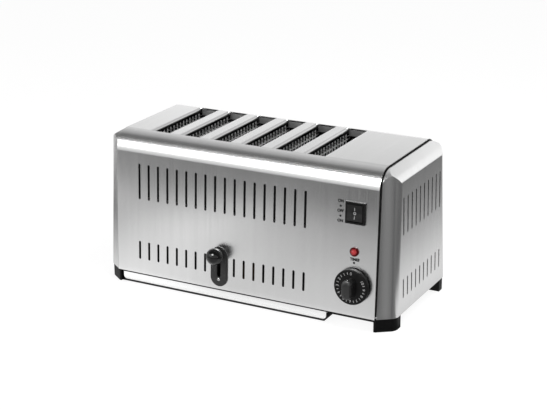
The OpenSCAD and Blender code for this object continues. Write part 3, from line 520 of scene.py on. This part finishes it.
INDEX_Z = 95.2 * MM
INDEX_WORD_Z = 99.9 * MM
INDEX_WORD_X = CONTROL_X + 1.2 * MM
mesh = joined("dial_index", [sheet(disc(0, 0, DOT_R), level(0))])
piece("dial_index", mesh, dark_print, "toaster_body", on_front(CONTROL_X, INDEX_Z))
place = on_front(INDEX_WORD_X, INDEX_WORD_Z)
words("dial_word", "TIMER", LETTER, place, dark_print, "toaster_body", HEAVY)

# Timer knob: a skirt turned round the shaft, and a short grip bar with a crowned face

KNOB_BACK = 1.5 * MM
KNOB_TOP = 25 * MM
KNOB_EDGE = 1.2 * MM
KNOB_SIDES = 96
EDGE_STEPS = 6
SHARP = math.radians(40)
SKIRT_R = 25 * MM
SKIRT_TOP = 9 * MM
SKIRT_RISE = 1 * MM
SKIRT_FOOT = 1 * MM
SKIRT_RINGS = (20 * MM, 15 * MM, 10 * MM, 5 * MM)
GRIP_W = 15 * MM
GRIP_LONG = 29 * MM
GRIP_CROWN = 50 * MM
GRIP_END_POINTS = 13
# Inset and drop of each ring of the grip's face, in millimetres
GRIP_STEPS = [(0.6, 1.6), (0.8, 0.8), (1.2, 0.25), (2.0, 0.0), (4.0, 0.0), (6.0, 0.0)]


def skirt_height(x, y):
    """The skirt's face falls away a little from the middle."""
    return SKIRT_TOP + SKIRT_RISE * (1 - math.hypot(x, y) / (SKIRT_R - KNOB_EDGE))


def skirt():
    profile = [(SKIRT_R - SKIRT_FOOT, KNOB_BACK), (SKIRT_R, KNOB_BACK + SKIRT_FOOT)]
    for k in range(EDGE_STEPS + 1):
        turn = math.pi / 2 * k / EDGE_STEPS
        inset = KNOB_EDGE * (1 - math.cos(turn))
        drop = KNOB_EDGE * (1 - math.sin(turn))
        profile.append((SKIRT_R - inset, SKIRT_TOP - drop))
    profile += [(r, skirt_height(r, 0)) for r in SKIRT_RINGS]
    return lofted([[(x, y, z) for x, y in disc(0, 0, r, KNOB_SIDES)] for r, z in profile])


def grip_outline(inset):
    """Long round-ended outline of the grip, drawn in by the inset."""
    points = []
    r = GRIP_W / 2 - inset
    for side, start in ((1, 0), (-1, math.pi)):
        centre = side * (GRIP_LONG - GRIP_W) / 2
        turns = [start + math.pi * i / (GRIP_END_POINTS - 1) for i in range(GRIP_END_POINTS)]
        points += [(r * math.cos(a), centre + r * math.sin(a)) for a in turns]
    return points


def grip_height(x, y):
    return KNOB_TOP - GRIP_CROWN + math.sqrt(GRIP_CROWN ** 2 - x ** 2 - y ** 2)


def grip():
    rings = [[(x, y, SKIRT_TOP - KNOB_EDGE) for x, y in grip_outline(0)]]
    for inset, drop in GRIP_STEPS:
        rings.append([(x, y, grip_height(x, y) - drop * MM) for x, y in grip_outline(inset * MM)])
    return lofted(rings)


dial = on_front(CONTROL_X, KNOB_Z)
for name, solid, mat in (("dial_skirt", skirt(), black_skirt), ("dial_grip", grip(), black_dial)):
    mesh = joined(name, [solid])
    mesh.shade_smooth()
    mesh.set_sharp_from_angle(angle=SHARP)
    made = piece(name, mesh, mat, "timer_dial", dial)
    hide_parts("timer_knob")

# Numerals on the skirt, with a tick between each two

NUMERALS = 11
NUMERAL_TURN = math.radians(30)
NUMERAL_R = 19.4 * MM
NUMERAL = 4.2 * MM
TICK_R = 20.0 * MM
TICK_W = 0.7 * MM
TICK_LONG = 3.2 * MM
skirt_tilt = math.atan(SKIRT_RISE / (SKIRT_R - KNOB_EDGE))
lift = Matrix.Translation((0, NUMERAL_R, skirt_height(0, NUMERAL_R)))
lean = Matrix.Rotation(-skirt_tilt, 4, "X")
ticks = []
for k in range(NUMERALS):
    turn = Matrix.Rotation(NUMERAL_TURN * k, 4, "Z")
    words(f"dial_{k}", str(k), NUMERAL, dial @ turn @ lift @ lean, white_print, "timer_dial")
    if k < NUMERALS - 1:
        half_turn = Matrix.Rotation(NUMERAL_TURN * (k + 0.5), 3, "Z")
        corners = [half_turn @ Vector((x, y, 0)) for x, y in bar(0, TICK_R, TICK_W, TICK_LONG)]
        ticks.append(sheet([(corner.x, corner.y) for corner in corners], skirt_height))
piece("dial_ticks", joined("dial_ticks", ticks), white_print, "timer_dial", dial)

# Rocker marks, which follow the shallow V of the rocker's face

ROCKER_MID = 3.34 * MM
ROCKER_FOLD = math.radians(10)
MARK_STEP = 6.0 * MM
MARK_W = 4.0 * MM
MARK_H = 4.4 * MM
MARK_LINE = 1.0 * MM


def rocker_height(x, y):
    return ROCKER_MID + abs(y) * math.tan(ROCKER_FOLD)


marks = [sheet(bar(0, side * MARK_STEP, MARK_LINE, MARK_H), rocker_height) for side in (-1, 1)]
marks += [sheet(quad, rocker_height) for quad in oval_ring(MARK_W, MARK_H, MARK_LINE)]
mesh = joined("rocker_marks", marks)
piece("rocker_marks", mesh, grey_print, "switch_rocker", on_front(CONTROL_X, SWITCH_Z))

# Cross recesses in the screws of the lever's guide plate

SCREW_HEAD = 4.6 * MM
SCREW_OUT = 3.2 * MM
CROSS_LONG = 0.55 * SCREW_HEAD
CROSS_W = 0.14 * SCREW_HEAD
crosses = [bar(0, 0, CROSS_LONG, CROSS_W), bar(0, 0, CROSS_W, CROSS_LONG)]
screw_heights = {"upper": screws_high.z - SCREW_HEAD / 2, "lower": screws_low.z + SCREW_HEAD / 2}
for name, z in screw_heights.items():
    mesh = joined(f"{name}_screw_recess", [sheet(cross, level(0)) for cross in crosses])
    place = on_front(SCREWS_AT.x, z, SCREW_OUT)
    piece(f"{name}_screw_recess", mesh, recess_shade, "toaster_body", place)

# Ends of the guard wires, which come up through the deck beside each bread slot, just under its lips

SLOTS = 6
WIRE_R = 1 * MM
WIRE_SIDES = 10
WIRE_PITCH = 9 * MM
WIRES = 15
WIRE_INSET = 2.6 * MM
WIRE_TOP = shell_high.z - 7 * MM
for i in range(1, SLOTS + 1):
    guard_low, guard_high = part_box(f"bread_guard_{i}")
    first_y = (guard_low.y + guard_high.y - (WIRES - 1) * WIRE_PITCH) / 2
    rods = []
    for x in (guard_low.x + WIRE_INSET, guard_high.x - WIRE_INSET):
        for k in range(WIRES):
            outline = disc(x, first_y + k * WIRE_PITCH, WIRE_R, WIRE_SIDES)
            rods.append(sheet(outline, level(guard_high.z), WIRE_TOP - guard_high.z))
    piece(f"guard_ends_{i}", joined(f"guard_ends_{i}", rods), wire_steel, "toaster_body")


# Stage: pale floor, white surround, soft light, and sheets for the steel to mirror


def bare_material(name):
    mat = bpy.data.materials.new(name)
    mat.use_nodes = True
    mat.node_tree.nodes.clear()
    return mat, Tree(mat.node_tree)


def stage_sheet(name, corners, mat):
    mesh = bpy.data.meshes.new(name)
    mesh.from_pydata(corners, [], [(0, 1, 2, 3)])
    mesh.materials.append(mat)
    obj = bpy.data.objects.new(name, mesh)
    scene.collection.objects.link(obj)
    return obj


def level_sheet(x0, y0, x1, y1, z):
    return [(x0, y0, z), (x1, y0, z), (x1, y1, z), (x0, y1, z)]


def upright_sheet(x0, x1, y, z0, z1):
    return [(x0, y, z0), (x1, y, z0), (x1, y, z1), (x0, y, z1)]


def faded(tree, position, axis, stops):
    """Share of the strength along an axis, by stops of a place in metres and a share."""
    start, end = stops[0][0], stops[-1][0]
    ramp = tree.node("ShaderNodeValToRGB")
    elements = ramp.color_ramp.elements
    while len(elements) < len(stops):
        elements.new(0.5)
    for element, (at, share) in zip(elements, stops):
        element.position = (at - start) / (end - start)
        element.color = (*grey(share), 1)
    tree.feed(tree.spread(position[axis], 0.0, 1.0, (start, end)), ramp.inputs["Fac"])
    return ramp.outputs["Color"]


def reflector(name, corners, strength, *fades):
    """Glowing sheet that only mirrors see. A fade is an axis and its stops."""
    mat, tree = bare_material(name)
    out = tree.node("ShaderNodeOutputMaterial")
    glow = tree.node("ShaderNodeEmission")
    if fades:
        position = tree.axes(tree.node("ShaderNodeNewGeometry").outputs["Position"])
        shares = [faded(tree, position, axis, stops) for axis, stops in fades]
        share = tree.combined("MULTIPLY", shares)
        tree.feed(tree.calc("MULTIPLY", share, strength), glow.inputs["Strength"])
    else:
        glow.inputs["Strength"].default_value = strength
    tree.feed(glow.outputs["Emission"], out.inputs["Surface"])
    obj = stage_sheet(name, corners, mat)
    for ray in ("camera", "diffuse", "shadow", "transmission", "volume_scatter"):
        setattr(obj, "visible_" + ray, False)


def softbox(name, at, toward, size, radiance, mirrored=True):
    """Oblong lamp of an even radiance."""
    light = bpy.data.lights.new(name, "AREA")
    light.shape = "RECTANGLE"
    light.size = size[0]
    light.size_y = size[1]
    light.energy = radiance * math.pi * size[0] * size[1]
    obj = bpy.data.objects.new(name, light)
    scene.collection.objects.link(obj)
    obj.location = at
    obj.rotation_mode = "QUATERNION"
    obj.rotation_quaternion = (Vector(toward) - Vector(at)).to_track_quat("-Z", "Y")
    obj.visible_glossy = mirrored


def two_levels(tree, lit, seen):
    """One strength for the rays that light the object, and one for those that look at the surround."""
    path = tree.node("ShaderNodeLightPath")
    kinds = ("Is Camera Ray", "Is Glossy Ray", "Is Transmission Ray")
    looks = tree.combined("MAXIMUM", [path.outputs[kind] for kind in kinds])
    return tree.spread(looks, lit, seen, (0.0, 1.0))


# Floor: white paper, in deep shade behind the tray's lip and beside it

FLOOR_HALF = 6.0
FLOOR_LIT = 0.45
FLOOR_SEEN = 0.86
PAPER = 0.28
PAPER_IN_SHADE = 0.10
SHADE_EDGE = 1 * MM
SHADE_BEHIND_LIP = tray_low.y + 6.5 * MM
SHADE_BEHIND_SHELL = shell_low.y + 33.5 * MM
SHADE_BACK = shell_high.y - 30 * MM
SHADE_LIP_END = tray_high.x - 6 * MM


def under_part(tree):
    """One on the floor deep under the part, where no light comes."""
    position = tree.axes(tree.node("ShaderNodeNewGeometry").outputs["Position"])
    x, y = position["X"], position["Y"]
    areas = [(shell_low.x, SHADE_LIP_END, SHADE_BEHIND_LIP),
             (SHADE_LIP_END, shell_high.x, SHADE_BEHIND_SHELL)]
    masks = []
    for left, right, front in areas:
        sides = [(x, left - SHADE_EDGE, left), (x, right + SHADE_EDGE, right),
                 (y, front - SHADE_EDGE, front), (y, SHADE_BACK + SHADE_EDGE, SHADE_BACK)]
        inside = [tree.spread(axis, 0.0, 1.0, (outer, inner)) for axis, outer, inner in sides]
        masks.append(tree.combined("MULTIPLY", inside))
    return tree.combined("MAXIMUM", masks)


def paper_floor():
    mat, tree = bare_material("floor")
    shade = under_part(tree)
    paper = tree.node("ShaderNodeBsdfDiffuse")
    tree.feed(tree.spread(shade, PAPER, PAPER_IN_SHADE, (0.0, 1.0)), paper.inputs["Color"])
    glow = tree.node("ShaderNodeEmission")
    unshaded = tree.node("ShaderNodeMath", operation="SUBTRACT", use_clamp=True)
    tree.feed(two_levels(tree, FLOOR_LIT, FLOOR_SEEN), unshaded.inputs[0])
    tree.feed(shade, unshaded.inputs[1])
    tree.feed(unshaded.outputs["Value"], glow.inputs["Strength"])
    both = tree.node("ShaderNodeAddShader")
    tree.feed(paper.outputs["BSDF"], both.inputs[0])
    tree.feed(glow.outputs["Emission"], both.inputs[1])
    tree.feed(both.outputs["Shader"], tree.node("ShaderNodeOutputMaterial").inputs["Surface"])
    return mat


stage_sheet("floor", level_sheet(-FLOOR_HALF, -FLOOR_HALF, FLOOR_HALF, FLOOR_HALF, 0), paper_floor())

# Surround and lamps

SKY_LIT = 0.36
SKY_SEEN = 1.0
world = bpy.data.worlds.new("studio")
scene.world = world
world.use_nodes = True
world.node_tree.nodes.clear()
sky = Tree(world.node_tree)
room = sky.node("ShaderNodeBackground")
room.inputs["Color"].default_value = (1, 1, 1, 1)
sky.feed(two_levels(sky, SKY_LIT, SKY_SEEN), room.inputs["Strength"])
sky.feed(room.outputs["Background"], sky.node("ShaderNodeOutputWorld").inputs["Surface"])

LAMPS_AIM = (0, 0, 0.20)
softbox("key", (-1.00, -1.53, 1.02), LAMPS_AIM, size=(1.7, 1.15), radiance=1.4)
softbox("top", (0.80, -0.10, 1.50), LAMPS_AIM, size=(1.0, 1.2), radiance=2.6, mirrored=False)

# Floor that the steel mirrors. A fall runs away from the part and a side along it,
# as stops of a place in metres and the share of the strength there

SHEET_Z = 0.5 * MM
FAR = 3.0
FRONT_FAR = -3.2
FRONT_FOOT = -0.115
END_FOOT = 0.235
BACK_FOOT = 0.125
RIGHT_ZONE = -0.22
CORNER_ZONE = 0.20
END_ZONE = -0.06
FRONT_STRENGTH = 1.30
CORNER_STRENGTH = 0.20
front_fall = [(FRONT_FAR, 0.60), (-1.6, 0.42), (-1.2, 0.20), (-0.85, 0.13), (-0.70, 0.19), (-0.62, 0.56),
              (-0.57, 0.88), (-0.45, 0.95), (-0.30, 0.82), (-0.155, 0.85), (-0.135, 1.20),
              (FRONT_FOOT, 1.25)]
front_side = [(-0.75, 1.00), (-0.60, 0.80), (-0.50, 0.53), (-0.43, 0.47), (-0.36, 0.72), (-0.30, 0.86),
              (-0.24, 0.92)]
front_place = level_sheet(-FAR, FRONT_FAR, RIGHT_ZONE, FRONT_FOOT, SHEET_Z)
reflector("front_floor", front_place, FRONT_STRENGTH, ("Y", front_fall), ("X", front_side))
right_fall = [(FRONT_FAR, 0.50), (-1.6, 0.35), (-1.2, 0.10), (-0.78, 0.05), (-0.68, 0.18), (-0.58, 0.50),
              (-0.42, 0.61), (-0.30, 0.74), (-0.20, 0.78), (-0.155, 0.78), (-0.135, 1.20),
              (FRONT_FOOT, 1.25)]
right_side = [(RIGHT_ZONE, 1.02), (-0.12, 0.90), (-0.05, 0.77), (CORNER_ZONE, 0.77)]
right_place = level_sheet(RIGHT_ZONE, FRONT_FAR, CORNER_ZONE, FRONT_FOOT, SHEET_Z)
reflector("right_floor", right_place, FRONT_STRENGTH, ("Y", right_fall), ("X", right_side))
corner_place = level_sheet(CORNER_ZONE, FRONT_FAR, FAR, END_ZONE, SHEET_Z)
reflector("corner_floor", corner_place, CORNER_STRENGTH)
end_fall = [(END_FOOT, 0.75), (0.27, 0.95), (0.29, 0.92), (0.33, 0.76), (0.37, 0.54), (0.42, 0.24),
            (0.55, 0.15), (FAR, 0.20)]
reflector("end_floor", level_sheet(END_FOOT, END_ZONE, FAR, FAR, SHEET_Z), 1.0, ("X", end_fall))
back_fall = [(BACK_FOOT, 0.93), (0.45, 0.83), (0.80, 0.35), (FAR, 0.40)]
reflector("back_floor", level_sheet(-FAR, BACK_FOOT, END_FOOT, FAR, SHEET_Z), 1.0, ("Y", back_fall))
left_fall = [(-FAR, 0.30), (-0.55, 0.25), (-0.37, 0.60), (-END_FOOT, 0.95)]
left_place = level_sheet(-FAR, FRONT_FOOT, -END_FOOT, BACK_FOOT, SHEET_Z)
reflector("left_floor", left_place, 1.0, ("X", left_fall))

# Dark ceiling and pale back wall that the steel mirrors

WALL_HALF = 2.5
WALL_Y = 1.10
WALL_FOOT = 0.001
WALL_TOP = 1.25
WALL_RIGHT = 0.15
BACK_STRENGTH = 1.25
RIGHT_STRENGTH = 1.28
CEILING_FRONT = -1.10
CEILING_BACK = 1.05
ceiling_fall = [(CEILING_FRONT, 0.14), (-0.30, 0.14), (-0.05, 0.25), (0.07, 0.42), (0.32, 0.56),
                (CEILING_BACK, 0.80)]
ceiling_place = level_sheet(-WALL_HALF, CEILING_FRONT, WALL_HALF, CEILING_BACK, WALL_TOP)
reflector("ceiling", ceiling_place, 1.0, ("Y", ceiling_fall))
wall_rise = [(WALL_FOOT, 1.0), (0.58, 1.0), (0.61, 0.80), (0.64, 0.63), (WALL_TOP, 0.64)]
wall_side = [(-WALL_HALF, 1.0), (-0.80, 1.0), (-0.40, 0.86), (WALL_RIGHT, 0.82)]
back_place = upright_sheet(-WALL_HALF, WALL_RIGHT, WALL_Y, WALL_FOOT, WALL_TOP)
reflector("back_wall", back_place, BACK_STRENGTH, ("Z", wall_rise), ("X", wall_side))
right_rise = [(WALL_FOOT, 1.0), (0.76, 1.0), (0.95, 0.48), (WALL_TOP, 0.45)]
right_wall_place = upright_sheet(WALL_RIGHT, WALL_HALF, WALL_Y, WALL_FOOT, WALL_TOP)
reflector("right_wall", right_wall_place, RIGHT_STRENGTH, ("Z", right_rise))

# Dark strip beside the right cap's front bevel, and a small bright card for the ball's highlight

BEVEL_X = 0.262
BEVEL_FRONT = -0.19
BEVEL_BACK = -0.09
BEVEL_TOP = 0.23
bevel_fall = [(BEVEL_FRONT, 0.10), (-0.165, 0.10), (-0.13, 0.33), (-0.105, 0.15), (BEVEL_BACK, 0.14)]
bevel_place = [(BEVEL_X, BEVEL_FRONT, WALL_FOOT), (BEVEL_X, BEVEL_BACK, WALL_FOOT),
               (BEVEL_X, BEVEL_BACK, BEVEL_TOP), (BEVEL_X, BEVEL_FRONT, BEVEL_TOP)]
reflector("bevel_strip", bevel_place, 1.0, ("Y", bevel_fall))

GLINT_AT = Vector((-0.14, -1.15, 1.15))
GLINT_HALF = 0.27
GLINT_SLANT = 0.7
GLINT_STRENGTH = 28
glint_corners = [(-1, GLINT_SLANT, 1), (1, GLINT_SLANT, 1), (1, -GLINT_SLANT, -1), (-1, -GLINT_SLANT, -1)]
glint_place = [GLINT_AT + Vector(corner) * GLINT_HALF for corner in glint_corners]
reflector("glint", glint_place, GLINT_STRENGTH)

# Camera fitted to the photo

AZIMUTH = math.radians(28.1841)
ELEVATION = math.radians(19.2548)
ROLL = math.radians(-0.3998)
CAMERA_AT = (0.9254, -1.7259, 0.8047)
LENS_LENGTH = 94.096
SENSOR_WIDTH = 36
back = Vector((math.sin(AZIMUTH) * math.cos(ELEVATION), -math.cos(AZIMUTH) * math.cos(ELEVATION),
               math.sin(ELEVATION)))
level_right = Vector((math.cos(AZIMUTH), math.sin(AZIMUTH), 0))
level_up = back.cross(level_right)
right = level_right * math.cos(ROLL) + level_up * math.sin(ROLL)
up = level_up * math.cos(ROLL) - level_right * math.sin(ROLL)
lens = bpy.data.cameras.new("camera")
lens.lens = LENS_LENGTH
lens.sensor_width = SENSOR_WIDTH
lens.sensor_fit = "HORIZONTAL"
camera = bpy.data.objects.new("camera", lens)
scene.collection.objects.link(camera)
turn = Matrix((right, up, back)).transposed().to_4x4()
camera.matrix_world = Matrix.Translation(CAMERA_AT) @ turn
scene.camera = camera
scene.view_settings.view_transform = "Standard"
